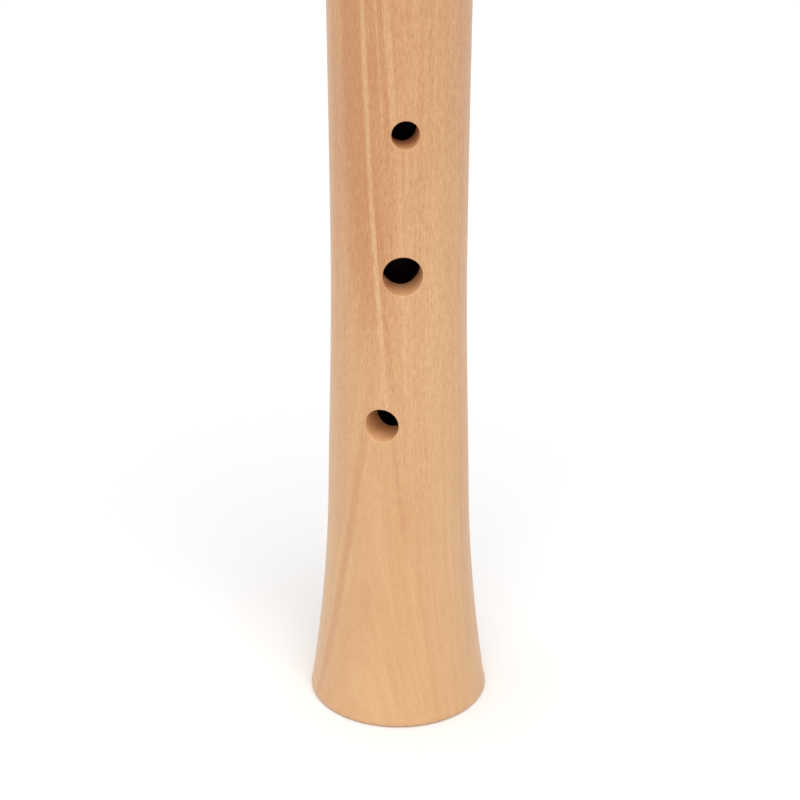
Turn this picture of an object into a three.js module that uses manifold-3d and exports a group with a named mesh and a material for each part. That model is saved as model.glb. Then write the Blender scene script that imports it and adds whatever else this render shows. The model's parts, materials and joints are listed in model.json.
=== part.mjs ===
// A wooden soprano recorder in two joints, standing upright on its flared foot.
// The body and foot are one turned piece with the finger holes; the head joint carries the
// mouthpiece and fits over the body's cork-lapped tenon; a cedar block closes the head and
// makes the floor of the windway. Millimetres, +Z up along the bore, z = 0 at the foot's face,
// the front with the finger holes faces -Y.

import * as THREE from "three";
import { mergeVertices } from "three/addons/utils/BufferGeometryUtils.js";
import Module from "manifold-3d";

// Outside of the body. A splay is how much the radius shrinks for each millimetre of height.
const bodyLength = 203;
const footRimDiameter = 30;
const footRimSplay = 0.153;
const footRimRounding = 0.7;
const throatHeight = 36.5;
const throatDiameter = 23.23;
const throatSplay = 0.024;
const waistHeight = 79.2;
const waistDiameter = 21.41;
const shoulderDiameter = 23.6;
const shoulderSplay = -0.01;
const shoulderRounding = 0.9;

// Inside of the body: a hollow turned into the foot's face, then a bore that narrows to a neck
// and widens again towards the tenon.
const footHollowDiameter = 21;
const footHollowDepth = 1.2;
const boreFootDiameter = 10.4;
const boreNeckDiameter = 9;
const boreNeckHeight = 46;
const boreTenonDiameter = 12.4;

// Finger holes, from the top of the body to the foot. A turn is in degrees about the bore, from
// the front towards the player's left hand side; the thumb hole looks straight to the back.
const fingerHoles = [
  { height: 193, diameter: 5, turn: 180 },
  { height: 184.5, diameter: 5, turn: 0 },
  { height: 163.5, diameter: 5.6, turn: 0 },
  { height: 142.8, diameter: 5.8, turn: 0 },
  { height: 122.4, diameter: 5.6, turn: 0 },
  { height: 99.2, diameter: 4.3, turn: 1 },
  { height: 77.4, diameter: 6.16, turn: -1 },
  { height: 52.9, diameter: 5.4, turn: -18.4 },
];

// Tenon at the top of the body, with a channel that holds the cork lapping.
const tenonLength = 19;
const tenonDiameter = 17.6;
const tenonRounding = 0.8;
const corkChannelStart = 3.5;
const corkChannelLength = 12;
const corkChannelDepth = 0.8;
const corkDiameter = 18.4;
const corkRounding = 0.5;

// Outside of the head joint, measured up from the seam between the joints.
const headLength = 128;
const headSeamDiameter = 25.4;
const headSeamRounding = 1.2;
const headSwellDiameter = 26.4;
const headSwellHeight = 26;
const headTopDiameter = 22.4;
const headTopRounding = 1.6;

// Inside of the head joint.
const socketSpareDepth = 0.6;
const headBoreDiameter = 12.9;
const blockSeatDiameter = 13.5;

// Window, lip and windway. A distance marked from the axis is towards the front.
const blockLength = 44;
const windowHeight = 4;
const windwayWidth = 12;
const windwayFloorFromAxis = 6.2;
const windwayExitHeight = 1;
const windwayEntryHeight = 1.9;
const windwayExitChamfer = 0.6;
const lipUndersideFromAxis = 6.5;
const lipEdgeThickness = 0.35;
const lipRampLength = 19;
const lipUndercutLength = 12;

// Beak: the back of the mouthpiece is hollowed away along an arc.
const beakLength = 34;
const beakTipThickness = 10;
const beakArcRadius = 42;

// Clearances between pieces.
const seamGap = 0.2;
const corkSeatClearance = 0.1;
const socketClearance = 0.12;
const blockClearance = 0.1;

// Fineness of the turned and drilled surfaces.
const turnedSides = 72;
const drilledSides = 36;
const cutOvershoot = 2;

const pearWood = new THREE.MeshStandardMaterial({ color: 0xd6a374, roughness: 0.5, metalness: 0 });
const cedarWood = new THREE.MeshStandardMaterial({ color: 0xb9805a, roughness: 0.7, metalness: 0 });
const corkBark = new THREE.MeshStandardMaterial({ color: 0xb98a5e, roughness: 0.9, metalness: 0 });

const wasm = await Module();
wasm.setup();

// A closed three.js geometry as a solid that can be joined and cut.
function solidOf(geometry) {
  const bare = geometry.clone();
  bare.deleteAttribute("normal");
  bare.deleteAttribute("uv");
  const merged = mergeVertices(bare, 1e-4);
  return new wasm.Manifold(
    new wasm.Mesh({
      numProp: 3,
      vertProperties: new Float32Array(merged.attributes.position.array),
      triVerts: new Uint32Array(merged.index.array),
    }),
  );
}

// A finished solid as a named mesh of the scene.
function pieceOf(name, solid, material) {
  const cut = solid.getMesh();
  const geometry = new THREE.BufferGeometry();
  geometry.setAttribute("position", new THREE.BufferAttribute(cut.vertProperties, 3));
  geometry.setIndex(new THREE.BufferAttribute(cut.triVerts, 1));
  const shown = geometry.toNonIndexed();
  shown.computeVertexNormals();
  const mesh = new THREE.Mesh(shown, material);
  mesh.name = name;
  return mesh;
}

// A closed outline of radius and height, turned about the bore. The outline climbs on the outside
// and comes down on the inside, and the turning starts at the front.
function turned(outline) {
  const closed = [...outline, outline[0].clone()];
  return solidOf(new THREE.LatheGeometry(closed, turnedSides).rotateX(Math.PI / 2));
}

// A quarter round between two directions, given in quarter turns from the radius axis.
function quarterRound(radius, height, rounding, fromQuarter, toQuarter, steps = 4) {
  const start = (fromQuarter * Math.PI) / 2;
  const end = (toQuarter * Math.PI) / 2;
  return new THREE.EllipseCurve(
    radius, height, rounding, rounding, start, end, end < start,
  ).getPoints(steps);
}

// An outside curve between two heights whose steepness is set at both ends.
function flank(low, high, steps) {
  const third = (high.height - low.height) / 3;
  return new THREE.CubicBezierCurve(
    new THREE.Vector2(low.radius, low.height),
    new THREE.Vector2(low.radius - low.splay * third, low.height + third),
    new THREE.Vector2(high.radius + high.splay * third, high.height - third),
    new THREE.Vector2(high.radius, high.height),
  ).getPoints(steps);
}

// A side view drawn as distance in front of the axis and height, made as wide as asked across X.
function acrossSolid(sideView, width, curveSegments = 32) {
  const slab = new THREE.ExtrudeGeometry(sideView, {
    depth: width, bevelEnabled: false, curveSegments,
  });
  slab.translate(0, 0, -width / 2);
  const toFront = new THREE.Vector3(0, -1, 0);
  const up = new THREE.Vector3(0, 0, 1);
  const across = new THREE.Vector3(-1, 0, 0);
  return solidOf(slab.applyMatrix4(new THREE.Matrix4().makeBasis(toFront, up, across)));
}

function sideView(points) {
  return new THREE.Shape(points.map(([front, height]) => new THREE.Vector2(front, height)));
}

// Heights that several pieces share.
const seamHeight = bodyLength + seamGap;
const headTop = bodyLength + headLength;
const tenonTop = bodyLength + tenonLength;
const corkBottom = bodyLength + corkChannelStart;
const corkTop = corkBottom + corkChannelLength;
const corkChannelRadius = tenonDiameter / 2 - corkChannelDepth;
const socketRadius = corkDiameter / 2 + socketClearance;
const socketEnd = tenonTop + socketSpareDepth;
const blockLine = headTop - blockLength;
const lipEdge = blockLine - windowHeight;

// Body and foot: turned inside and out, then drilled.
function bodyAndFoot() {
  const rim = { radius: footRimDiameter / 2, height: 0, splay: footRimSplay };
  const throat = { radius: throatDiameter / 2, height: throatHeight, splay: throatSplay };
  const waist = { radius: waistDiameter / 2, height: waistHeight, splay: 0 };
  const shoulder = { radius: shoulderDiameter / 2, height: bodyLength, splay: shoulderSplay };
  const flare = flank(rim, throat, 9);
  const lowerBody = flank(throat, waist, 5);
  const upperBody = flank(waist, shoulder, 6);
  const rimCentre = rim.radius - footRimRounding;
  const aboveRim = (point) => point.y > footRimRounding * 1.5;
  const belowShoulder = (point) => point.y < bodyLength - shoulderRounding * 1.2;
  const tenonRadius = tenonDiameter / 2;
  const boreAtTop = boreTenonDiameter / 2;
  const outside = [
    ...quarterRound(rimCentre, footRimRounding, footRimRounding, -1, -0.1),
    ...flare.filter(aboveRim),
    ...lowerBody.slice(1),
    ...upperBody.slice(1).filter(belowShoulder),
    ...quarterRound(shoulder.radius - shoulderRounding, bodyLength - shoulderRounding,
      shoulderRounding, 0, 1),
    new THREE.Vector2(tenonRadius, bodyLength),
    new THREE.Vector2(tenonRadius, corkBottom),
    new THREE.Vector2(corkChannelRadius, corkBottom),
    new THREE.Vector2(corkChannelRadius, corkTop),
    new THREE.Vector2(tenonRadius, corkTop),
    ...quarterRound(tenonRadius - tenonRounding, tenonTop - tenonRounding, tenonRounding, 0, 1, 3),
  ];
  const inside = [
    new THREE.Vector2(boreAtTop, tenonTop),
    new THREE.Vector2(boreNeckDiameter / 2, boreNeckHeight),
    new THREE.Vector2(boreFootDiameter / 2, footHollowDepth),
    new THREE.Vector2(footHollowDiameter / 2, 0),
  ];
  let wood = turned([...outside, ...inside]);
  for (const hole of fingerHoles) wood = wood.subtract(fingerDrill(hole));
  return pieceOf("body_and_foot", wood, pearWood);
}

// The drill of one finger hole, from the middle of the bore out past the wall.
function fingerDrill({ height, diameter, turn }) {
  const reach = Math.max(footRimDiameter, shoulderDiameter);
  const drill = new THREE.CylinderGeometry(diameter / 2, diameter / 2, reach, drilledSides);
  drill.translate(0, -reach / 2, 0);
  drill.rotateZ(THREE.MathUtils.degToRad(turn));
  drill.translate(0, 0, height);
  return solidOf(drill);
}

// Cork lapping: a band glued into the tenon's channel, a little proud of the tenon.
function tenonCork() {
  const outer = corkDiameter / 2;
  const inner = corkChannelRadius + corkSeatClearance;
  const bottom = corkBottom + corkSeatClearance;
  const top = corkTop - corkSeatClearance;
  const band = turned([
    new THREE.Vector2(inner, bottom),
    ...quarterRound(outer - corkRounding, bottom + corkRounding, corkRounding, -1, 0, 3),
    ...quarterRound(outer - corkRounding, top - corkRounding, corkRounding, 0, 1, 3),
    new THREE.Vector2(inner, top),
  ]);
  return pieceOf("tenon_cork", band, corkBark);
}

// The hollow of the beak, taken off the back of the head and of the block alike. Its arc runs
// from the back of the head, a beak's length below the top, to the thin tip.
function beakHollow() {
  const tip = new THREE.Vector2(headTopDiameter / 2 - beakTipThickness, headTop);
  const heel = new THREE.Vector2(-headSwellDiameter / 2, headTop - beakLength);
  const half = tip.clone().sub(heel).multiplyScalar(0.5);
  const rise = Math.sqrt(beakArcRadius ** 2 - half.lengthSq());
  const away = new THREE.Vector2(-half.y, half.x).normalize();
  const centre = heel.clone().add(half).addScaledVector(away, rise);
  const heelAngle = Math.atan2(heel.y - centre.y, heel.x - centre.x);
  const tipAngle = Math.atan2(tip.y - centre.y, tip.x - centre.x);
  const behind = -headSwellDiameter;
  const shape = new THREE.Shape();
  shape.moveTo(behind, heel.y);
  shape.lineTo(heel.x, heel.y);
  shape.absarc(centre.x, centre.y, beakArcRadius, heelAngle, tipAngle, false);
  shape.lineTo(tip.x, headTop + cutOvershoot);
  shape.lineTo(behind, headTop + cutOvershoot);
  return acrossSolid(shape, headSwellDiameter + cutOvershoot);
}

// Everything that is cut through the front of the head in one side view: the windway's roof,
// the window, the ramp of the lip and the hollow under the lip.
function mouthCut() {
  const deepest = 1;
  const outermost = headSwellDiameter / 2 + cutOvershoot;
  const exitRoof = windwayFloorFromAxis + windwayExitHeight;
  const roofRise = (windwayEntryHeight - windwayExitHeight) / blockLength;
  const entryRoof = exitRoof + roofRise * (blockLength + cutOvershoot);
  const lipOutside = lipUndersideFromAxis + lipEdgeThickness;
  const headFront = headSwellDiameter / 2;
  const rampDrop = (lipRampLength * (outermost - lipOutside)) / (headFront - lipOutside);
  const boreAtSide = Math.sqrt((headBoreDiameter / 2) ** 2 - (windwayWidth / 2) ** 2);
  const undercutEnd = lipEdge - lipUndercutLength;
  return acrossSolid(sideView([
    [deepest, headTop + cutOvershoot],
    [entryRoof, headTop + cutOvershoot],
    [exitRoof, blockLine + windwayExitChamfer],
    [exitRoof + windwayExitChamfer, blockLine],
    [outermost, blockLine],
    [outermost, lipEdge - rampDrop],
    [lipOutside, lipEdge],
    [lipUndersideFromAxis, lipEdge],
    [boreAtSide, undercutEnd],
    [deepest, undercutEnd],
  ]), windwayWidth);
}

// Head joint: turned with its socket, bore and block seat, then the mouth and the beak are cut.
function headJoint() {
  const seam = { radius: headSeamDiameter / 2, height: seamHeight, splay: -0.08 };
  const swell = {
    radius: headSwellDiameter / 2, height: seamHeight + headSwellHeight, splay: 0,
  };
  const top = { radius: headTopDiameter / 2, height: headTop, splay: 0.03 };
  const aboveSeam = (point) => point.y > seamHeight + headSeamRounding * 1.2;
  const belowTop = (point) => point.y < headTop - headTopRounding * 1.2;
  const seatRadius = blockSeatDiameter / 2;
  const boreRadius = headBoreDiameter / 2;
  const wood = turned([
    new THREE.Vector2(socketRadius, seamHeight),
    ...quarterRound(seam.radius - headSeamRounding, seamHeight + headSeamRounding,
      headSeamRounding, -1, 0),
    ...flank(seam, swell, 5).filter(aboveSeam),
    ...flank(swell, top, 6).slice(1).filter(belowTop),
    ...quarterRound(top.radius - headTopRounding, headTop - headTopRounding,
      headTopRounding, 0, 1),
    new THREE.Vector2(seatRadius, headTop),
    new THREE.Vector2(seatRadius, blockLine),
    new THREE.Vector2(boreRadius, blockLine),
    new THREE.Vector2(boreRadius, socketEnd),
    new THREE.Vector2(socketRadius, socketEnd),
  ]);
  return pieceOf("head_joint", wood.subtract(mouthCut()).subtract(beakHollow()), pearWood);
}

// Block: a cedar plug with a raised track that fits the windway's channel and is its floor.
function blockPiece() {
  const radius = blockSeatDiameter / 2 - blockClearance;
  const bottom = blockLine + blockClearance;
  const deepest = 1;
  const floor = windwayFloorFromAxis;
  const plug = new THREE.CylinderGeometry(radius, radius, headTop - bottom, turnedSides);
  plug.rotateX(Math.PI / 2).translate(0, 0, (headTop + bottom) / 2);
  const track = acrossSolid(sideView([
    [deepest, bottom],
    [floor, bottom],
    [floor, headTop],
    [deepest, headTop],
  ]), windwayWidth - 2 * blockClearance);
  const aboveFloor = acrossSolid(sideView([
    [floor - windwayExitChamfer - cutOvershoot, bottom - cutOvershoot],
    [floor, bottom + windwayExitChamfer],
    [floor, headTop + cutOvershoot],
    [floor + headSwellDiameter, headTop + cutOvershoot],
    [floor + headSwellDiameter, bottom - cutOvershoot],
  ]), windwayWidth + cutOvershoot);
  const wood = solidOf(plug).add(track).subtract(aboveFloor).subtract(beakHollow());
  return pieceOf("block", wood, cedarWood);
}

const recorder = new THREE.Group();
recorder.add(bodyAndFoot(), tenonCork(), headJoint(), blockPiece());

export default recorder;
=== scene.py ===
# %% [markdown]
# A wooden soprano recorder, dressed in Blender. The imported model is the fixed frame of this
# lesson: it is loaded before anything else, it tells the height of every shoulder, and
# nothing in it is moved. Each of its four pieces is then made again with a finer outline and
# gets its own finish.

import json
import math

import bmesh
import bpy
from mathutils import Matrix, Vector

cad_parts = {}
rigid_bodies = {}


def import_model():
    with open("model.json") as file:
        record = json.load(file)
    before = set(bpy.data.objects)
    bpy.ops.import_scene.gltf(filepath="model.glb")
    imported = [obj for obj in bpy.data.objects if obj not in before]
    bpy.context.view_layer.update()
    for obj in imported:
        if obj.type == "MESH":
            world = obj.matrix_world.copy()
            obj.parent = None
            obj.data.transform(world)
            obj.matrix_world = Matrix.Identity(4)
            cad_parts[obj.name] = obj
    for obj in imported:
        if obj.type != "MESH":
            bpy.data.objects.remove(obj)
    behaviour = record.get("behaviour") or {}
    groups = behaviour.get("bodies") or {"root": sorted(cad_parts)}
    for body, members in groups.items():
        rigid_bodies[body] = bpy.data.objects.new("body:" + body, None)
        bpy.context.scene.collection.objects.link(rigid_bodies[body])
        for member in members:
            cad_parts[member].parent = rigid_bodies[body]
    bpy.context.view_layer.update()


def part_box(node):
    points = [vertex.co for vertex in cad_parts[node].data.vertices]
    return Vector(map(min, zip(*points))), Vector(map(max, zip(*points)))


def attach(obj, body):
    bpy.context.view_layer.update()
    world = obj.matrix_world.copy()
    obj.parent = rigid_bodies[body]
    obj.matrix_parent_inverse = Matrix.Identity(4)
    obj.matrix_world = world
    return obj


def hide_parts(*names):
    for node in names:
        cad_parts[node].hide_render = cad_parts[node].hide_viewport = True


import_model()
MM = 0.001


# %% [markdown]
# The camera comes first, because every later decision is judged through it. The photograph
# looks down at the foot from close by: the ellipse of the foot's rim and the sizes of the
# three finger holes fix the pitch, the distance and the height, and the lens follows from
# how fast the body narrows towards the top of the picture. The camera stands a few degrees
# to the player's right of the front line, on which the holes lie.

# %% Camera
FILM_WIDTH = 36.0
PICTURE_PIXELS = 800
FOCAL_PIXELS = 1771.0
CAMERA_DISTANCE = 264.3 * MM
CAMERA_HEIGHT = 164.3 * MM
CAMERA_PITCH = math.radians(22.88)
CAMERA_AZIMUTH = math.radians(-4.3)
CAMERA_YAW = math.radians(-0.045)
CAMERA_ROLL = math.radians(0.1)
NEAREST_SEEN = 0.01
FARTHEST_SEEN = 100.0


def add_camera():
    """A camera at the photograph's place, aimed at the bore and pitched down."""
    place = Vector((
        math.sin(CAMERA_AZIMUTH) * CAMERA_DISTANCE,
        -math.cos(CAMERA_AZIMUTH) * CAMERA_DISTANCE,
        CAMERA_HEIGHT,
    ))
    turn = Matrix.Rotation(CAMERA_AZIMUTH + CAMERA_YAW, 4, "Z")
    tilt = Matrix.Rotation(math.radians(90) - CAMERA_PITCH, 4, "X")
    roll = Matrix.Rotation(CAMERA_ROLL, 4, "Z")
    bpy.ops.object.camera_add(location=place, rotation=(turn @ tilt @ roll).to_euler())
    camera = bpy.context.object
    camera.name = "camera"
    camera.data.sensor_width = FILM_WIDTH
    camera.data.lens = FILM_WIDTH * FOCAL_PIXELS / PICTURE_PIXELS
    camera.data.clip_start = NEAREST_SEEN
    camera.data.clip_end = FARTHEST_SEEN
    return camera


bpy.context.scene.camera = add_camera()
bpy.context.scene.view_settings.view_transform = "Standard"
print("lens in mm:", round(bpy.context.scene.camera.data.lens, 1))

# %% [markdown]
# Shaders are easier to read as sums than as wires. This small class holds one socket of a
# node tree. Adding or multiplying two of them adds the Math node that does it, so a mask
# can be written as 1 - mask. Every other node comes from its one method, node.

# %% A socket that can be reckoned with
class Wire:
    """An output socket of a node tree, with Python's operators."""

    def __init__(self, tree, socket=None):
        self.tree = tree
        self.socket = socket

    def node(self, kind, settings=None, sockets=None, output=0):
        """Adds a node: its settings first, then values or wires by socket name or number."""
        made = self.tree.nodes.new(kind)
        for name, value in (settings or {}).items():
            if name == "stops":
                set_stops(made.color_ramp, value)
            else:
                setattr(made, name, value)
        for name, value in (sockets or {}).items():
            if isinstance(value, Wire):
                self.tree.links.new(value.socket, made.inputs[name])
            else:
                made.inputs[name].default_value = value
        return Wire(self.tree, made.outputs[output] if made.outputs else None)

    def also(self, output):
        """Another output of the node that this wire comes from."""
        return Wire(self.tree, self.socket.node.outputs[output])

    def math(self, operation, *values):
        """A Math node on this wire and further values."""
        sockets = dict(enumerate((self, *values)))
        return self.node("ShaderNodeMath", {"operation": operation}, sockets)

    def __add__(self, other):
        return self.math("ADD", other)

    __radd__ = __add__

    def __sub__(self, other):
        return self.math("SUBTRACT", other)

    def __rsub__(self, other):
        return self.node("ShaderNodeMath", {"operation": "SUBTRACT"}, {0: other, 1: self})

    def __mul__(self, other):
        return self.math("MULTIPLY", other)

    def __truediv__(self, other):
        return self.math("DIVIDE", other)


def set_stops(ramp, stops):
    """Gives a colour ramp its stops, each a position and a colour."""
    while len(ramp.elements) < len(stops):
        ramp.elements.new(0.5)
    for element, (position, colour) in zip(ramp.elements, stops):
        element.position = position
        element.color = colour


def srgb(red, green, blue):
    """A colour read off a screen, 0 to 255, as the linear colour that a shader takes."""
    def linear(value):
        share = value / 255
        if share <= 0.04045:
            return share / 12.92
        return ((share + 0.055) / 1.055) ** 2.4
    return (linear(red), linear(green), linear(blue), 1)


def new_material(name):
    """An empty material and the wire that its nodes start from."""
    material = bpy.data.materials.new(name)
    material.use_nodes = True
    material.node_tree.nodes.clear()
    return material, Wire(material.node_tree)


def show(start, shader, kind="ShaderNodeOutputMaterial"):
    """Links a shader to the output of a material or, with its kind, of the world."""
    start.node(kind, {}, {"Surface": shader})


print("shader helpers are ready")

# %% [markdown]
# The photograph has a pure white background and almost even light, as inside a white tent.
# So the world is a soft light from everywhere, slightly stronger from the left, that the
# camera sees as plain white. One very broad sun from the front adds a little shape. Behind
# the recorder the world is brighter in reflections, as a lit backdrop is, which gives the
# pale gloss along both sides. The floor is pale and matte. It keeps the soft shadow of the
# foot, and its colour alone makes it meet the white of the background.

# %% World, sun and floor
WORLD_LIGHT = 0.70
LEFT_TO_RIGHT = 0.22
WORLD_SEEN = 1.0
BACKDROP_GLOSS = 0.55
BACKDROP_STARTS = 0.1
FRONT_SUN = {"name": "front_sun", "strength": 1.5, "azimuth": 6, "elevation": 52, "spread": 50}
FLOOR_SIZE = 60.0
FLOOR_DROP = 0.02 * MM
FLOOR_GREY = 0.8
FLOOR_SEEN_GREY = 0.99


def seen_directly(start):
    """1 for rays from the camera, for mirror-like reflections and for glass, otherwise 0."""
    camera = start.node("ShaderNodeLightPath", output="Is Camera Ray")
    glossy = camera.also("Is Glossy Ray")
    glass = camera.also("Is Transmission Ray")
    return camera.math("MAXIMUM", glossy).math("MAXIMUM", glass)


def light_world():
    """A world that is seen as white, lights more from the left and gleams from behind."""
    world = bpy.data.worlds.new("white_tent")
    bpy.context.scene.world = world
    world.use_nodes = True
    world.node_tree.nodes.clear()
    start = Wire(world.node_tree)
    seen = seen_directly(start)
    direction = start.node("ShaderNodeTexCoord", output="Generated")
    backwards = direction.node("ShaderNodeSeparateXYZ", {}, {0: direction}, output="Y")
    light = (1 - backwards.also("X") * LEFT_TO_RIGHT) * WORLD_LIGHT
    strength = seen * WORLD_SEEN + (1 - seen) * light
    mirrored = start.node("ShaderNodeLightPath", output="Is Glossy Ray")
    behind = backwards.math("GREATER_THAN", BACKDROP_STARTS)
    strength = strength + behind * mirrored * BACKDROP_GLOSS
    white = start.node("ShaderNodeBackground", {}, {"Color": (1, 1, 1, 1), "Strength": strength})
    show(start, white, "ShaderNodeOutputWorld")


def add_sun(name, strength, azimuth, elevation, spread):
    """A broad sun. Azimuth 0 shines from the camera's side, 90 from the right."""
    across = math.radians(azimuth)
    up = math.radians(elevation)
    to_sun = Vector((
        math.sin(across) * math.cos(up),
        -math.cos(across) * math.cos(up),
        math.sin(up),
    ))
    bpy.ops.object.light_add(type="SUN", rotation=to_sun.to_track_quat("Z", "Y").to_euler())
    sun = bpy.context.object
    sun.name = name
    sun.data.energy = strength
    sun.data.angle = math.radians(spread)


def floor_material():
    """Matte paper: a little paler to the camera than it is to the light."""
    material, start = new_material("pale_paper")
    seen = seen_directly(start)
    grey = seen * (FLOOR_SEEN_GREY - FLOOR_GREY) + FLOOR_GREY
    colour = start.node("ShaderNodeCombineColor", {}, {0: grey, 1: grey, 2: grey})
    show(start, start.node("ShaderNodeBsdfDiffuse", {}, {"Color": colour}))
    return material


light_world()
add_sun(**FRONT_SUN)
bpy.ops.mesh.primitive_plane_add(size=FLOOR_SIZE, location=(0, 0, -FLOOR_DROP))
floor = bpy.context.object
floor.name = "floor"
floor.data.materials.append(floor_material())

# %% [markdown]
# Sizes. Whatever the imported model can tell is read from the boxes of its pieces. What a box
# can't tell, such as where the body is slimmest or how deep a channel is, is written down
# here by name, in millimetres.

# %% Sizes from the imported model
body_low, body_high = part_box("body_and_foot")
cork_low, cork_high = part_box("tenon_cork")
head_low, head_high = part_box("head_joint")
block_low, block_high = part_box("block")

TENON_TOP = body_high.z / MM
SEAM = head_low.z / MM
HEAD_TOP = head_high.z / MM
CORK_BOTTOM = cork_low.z / MM
CORK_TOP = cork_high.z / MM
CORK_RADIUS = cork_high.x / MM
HEAD_RADIUS = head_high.x / MM
BLOCK_BOTTOM = block_low.z / MM
BLOCK_RADIUS = block_high.x / MM
WINDWAY_FLOOR = -block_low.y / MM

SEAM_GAP = 0.2
BODY_LENGTH = SEAM - SEAM_GAP
BLOCK_GAP = 0.1
BLOCK_LINE = BLOCK_BOTTOM - BLOCK_GAP

FOOT_RIM_RADIUS = 15.0
FOOT_RIM_SPLAY = 0.153
FOOT_RIM_ROUNDING = 0.7
THROAT_HEIGHT = 36.5
THROAT_RADIUS = 23.23 / 2
THROAT_SPLAY = 0.024
WAIST_HEIGHT = 79.2
WAIST_RADIUS = 21.41 / 2
SHOULDER_RADIUS = 23.6 / 2
SHOULDER_SPLAY = -0.01
SHOULDER_ROUNDING = 0.9
TENON_RADIUS = 17.6 / 2
TENON_ROUNDING = 0.8
CORK_GAP = 0.1
CORK_CHANNEL_RADIUS = TENON_RADIUS - 0.8
FOOT_HOLLOW_RADIUS = 10.5
FOOT_HOLLOW_DEPTH = 1.2
BORE_FOOT_RADIUS = 5.2
BORE_NECK_RADIUS = 4.5
BORE_NECK_HEIGHT = 46.0
BORE_TENON_RADIUS = 6.2
TURNED_SIDES = 144

print("tenon top, seam, head top in mm:", round(TENON_TOP, 2), round(SEAM, 2), round(HEAD_TOP, 2))

# %% [markdown]
# Turning. A wood turner cuts a blank to an outline while it spins. The same is done here:
# one vertex is extruded along the outline, up the outside and down the bore, and the chain
# is spun once round the bore. An arc and a flank are enough to draw every outline of a
# recorder: the arc is a rounded edge, the flank a long curve with a set steepness at its ends.

# %% Outline curves and the lathe
MERGE_DISTANCE = 0.002 * MM


def arc(radius, height, rounding, start, end, steps=6):
    """Outline points on an arc between two angles in degrees, 0 outwards and 90 up."""
    points = []
    for i in range(steps + 1):
        angle = math.radians(start + (end - start) * i / steps)
        points.append((radius + rounding * math.cos(angle), height + rounding * math.sin(angle)))
    return points


def flank(low, high, steps):
    """Outline points between two (radius, height, splay) ends of a smooth long curve."""
    third = (high[1] - low[1]) / 3
    handles = (
        Vector((low[0], low[1])),
        Vector((low[0] - low[2] * third, low[1] + third)),
        Vector((high[0] + high[2] * third, high[1] - third)),
        Vector((high[0], high[1])),
    )
    points = []
    for i in range(steps + 1):
        t = i / steps
        weights = ((1 - t) ** 3, 3 * t * (1 - t) ** 2, 3 * t * t * (1 - t), t ** 3)
        point = sum((h * w for h, w in zip(handles, weights)), Vector((0, 0)))
        points.append((point.x, point.y))
    return points


def straight(start, end, steps):
    """Outline points on a straight stretch, both ends included."""
    return [
        (start[0] + (end[0] - start[0]) * i / steps, start[1] + (end[1] - start[1]) * i / steps)
        for i in range(steps + 1)
    ]


def draw_chain(name, points):
    """A new piece in edit mode: one vertex, extruded through points given in millimetres."""
    bpy.ops.mesh.primitive_plane_add(size=MM, location=(0, 0, 0))
    piece = bpy.context.object
    piece.name = name
    piece.data.name = name
    bpy.ops.object.mode_set(mode="EDIT")
    bpy.ops.mesh.select_mode(type="VERT")
    bpy.ops.mesh.select_all(action="SELECT")
    bpy.ops.mesh.merge(type="CENTER")
    bpy.ops.transform.translate(value=Vector(points[0]) * MM)
    for here, there in zip(points, points[1:]):
        step = (Vector(there) - Vector(here)) * MM
        bpy.ops.mesh.extrude_region_move(TRANSFORM_OT_translate={"value": step})
    return piece


def turn_piece(name, outline):
    """Spins an outline once round the bore: a solid if it ends on the axis, or else a ring."""
    solid = outline[0][0] == 0 and outline[-1][0] == 0
    whole = outline if solid else [*outline, outline[0]]
    piece = draw_chain(name, [(radius, 0, height) for radius, height in whole])
    bpy.ops.mesh.select_all(action="SELECT")
    bpy.ops.mesh.spin(steps=TURNED_SIDES, angle=2 * math.pi, center=(0, 0, 0), axis=(0, 0, 1))
    close_up()
    return piece


def work_on(piece):
    """Makes one piece the selected and active one."""
    bpy.ops.object.select_all(action="DESELECT")
    piece.select_set(True)
    bpy.context.view_layer.objects.active = piece


def close_up():
    """Merges doubled vertices, turns all faces outwards and leaves edit mode."""
    bpy.ops.mesh.select_all(action="SELECT")
    bpy.ops.mesh.remove_doubles(threshold=MERGE_DISTANCE)
    bpy.ops.mesh.normals_make_consistent(inside=False)
    bpy.ops.mesh.select_all(action="DESELECT")
    bpy.ops.object.mode_set(mode="OBJECT")


def report(piece):
    """Prints a piece's triangles, its open edges and its volume."""
    mesh = bmesh.new()
    mesh.from_mesh(piece.data)
    open_edges = sum(not edge.is_manifold for edge in mesh.edges)
    triangles = sum(len(face.verts) - 2 for face in mesh.faces)
    volume = mesh.calc_volume(signed=True) / MM ** 3
    mesh.free()
    print(piece.name, triangles, "triangles,", open_edges, "open edges,", round(volume), "mm3")


# %% [markdown]
# The body and foot are one length of pear wood. Its outside flares at the foot, is slimmest
# near the sixth finger hole and ends in a shoulder below the tenon. The bore inside is a
# long cone that is narrowest above the foot. Rows of about a millimetre are drawn, so that
# there are edges to open a window at each finger hole later.

# %% Turn the body and foot
ROW_HEIGHT = 1.2
RIM_ARC_END = -9
CLEAR_OF_RIM = 1.5
CLEAR_OF_ROUNDING = 1.2


def rows(length):
    """How many rows a stretch of the outline is drawn in."""
    return max(2, round(length / ROW_HEIGHT))


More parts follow.
